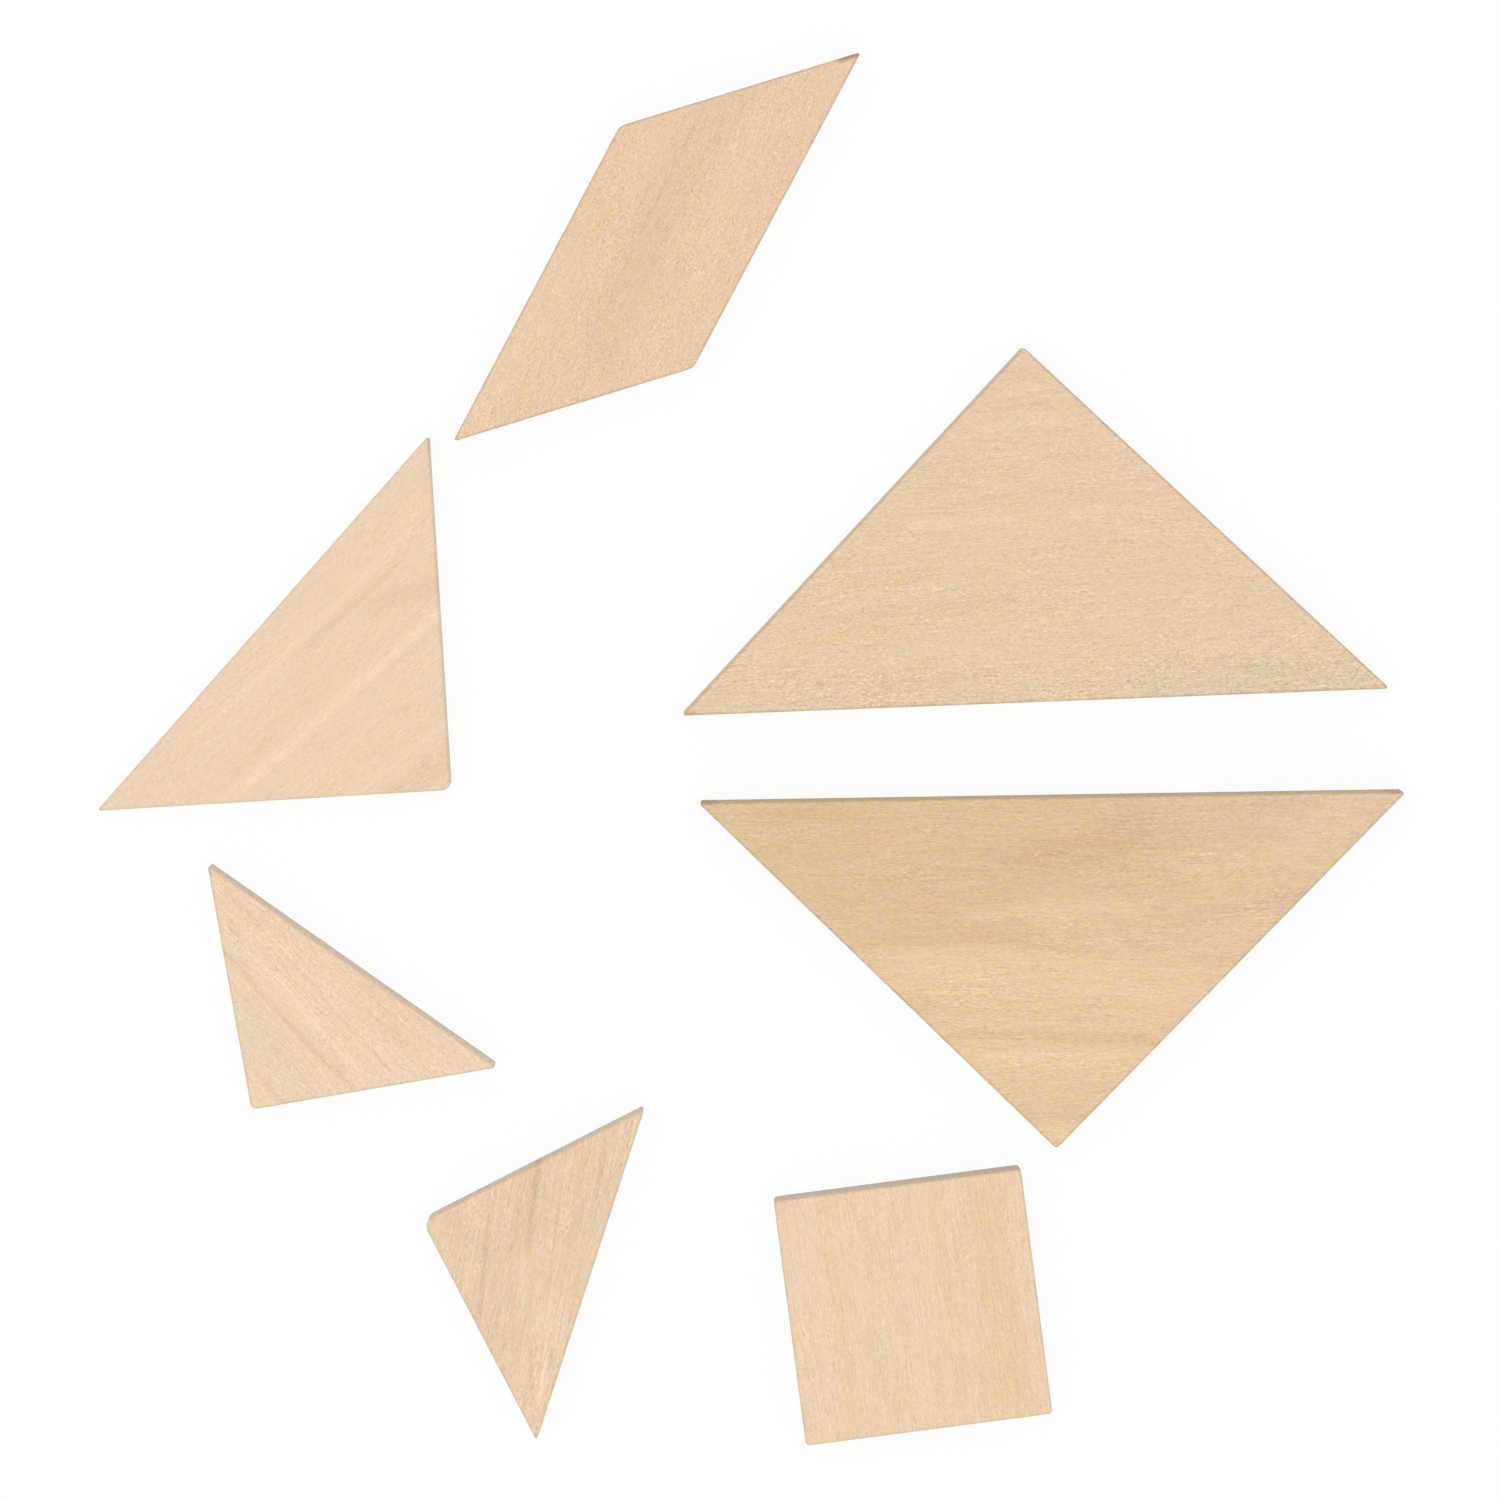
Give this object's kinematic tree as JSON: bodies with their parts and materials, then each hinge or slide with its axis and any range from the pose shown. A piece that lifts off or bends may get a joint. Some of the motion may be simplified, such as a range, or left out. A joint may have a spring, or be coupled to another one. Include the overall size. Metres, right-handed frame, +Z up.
{
  "type": "tangram puzzle",
  "caption": "Flat wooden dissection puzzle: loose triangles, a square and a parallelogram that lie spread out on a table and go together as one square.",
  "frame": {"origin": "middle of the rectangle that the spread layout takes up, on the table under the tiles", "axes": "+Z up from the table through the thickness of the tiles; +Y away from the viewer, along the longer side of the layout; +X to the viewer's right"},
  "size_m": [0.184, 0.1966, 0.005],
  "materials": {
    "pale_wood": "fine-sanded, bare",
    "warm_wood": "fine-sanded, bare",
    "tan_wood": "fine-sanded, bare"
  },
  "bodies": {
    "root": {"large_triangle_1": "tan_wood", "large_triangle_2": "tan_wood", "medium_triangle": "pale_wood", "small_triangle_1": "pale_wood", "small_triangle_2": "warm_wood", "square_tile": "pale_wood", "parallelogram": "warm_wood"}
  },
  "joints": []
}
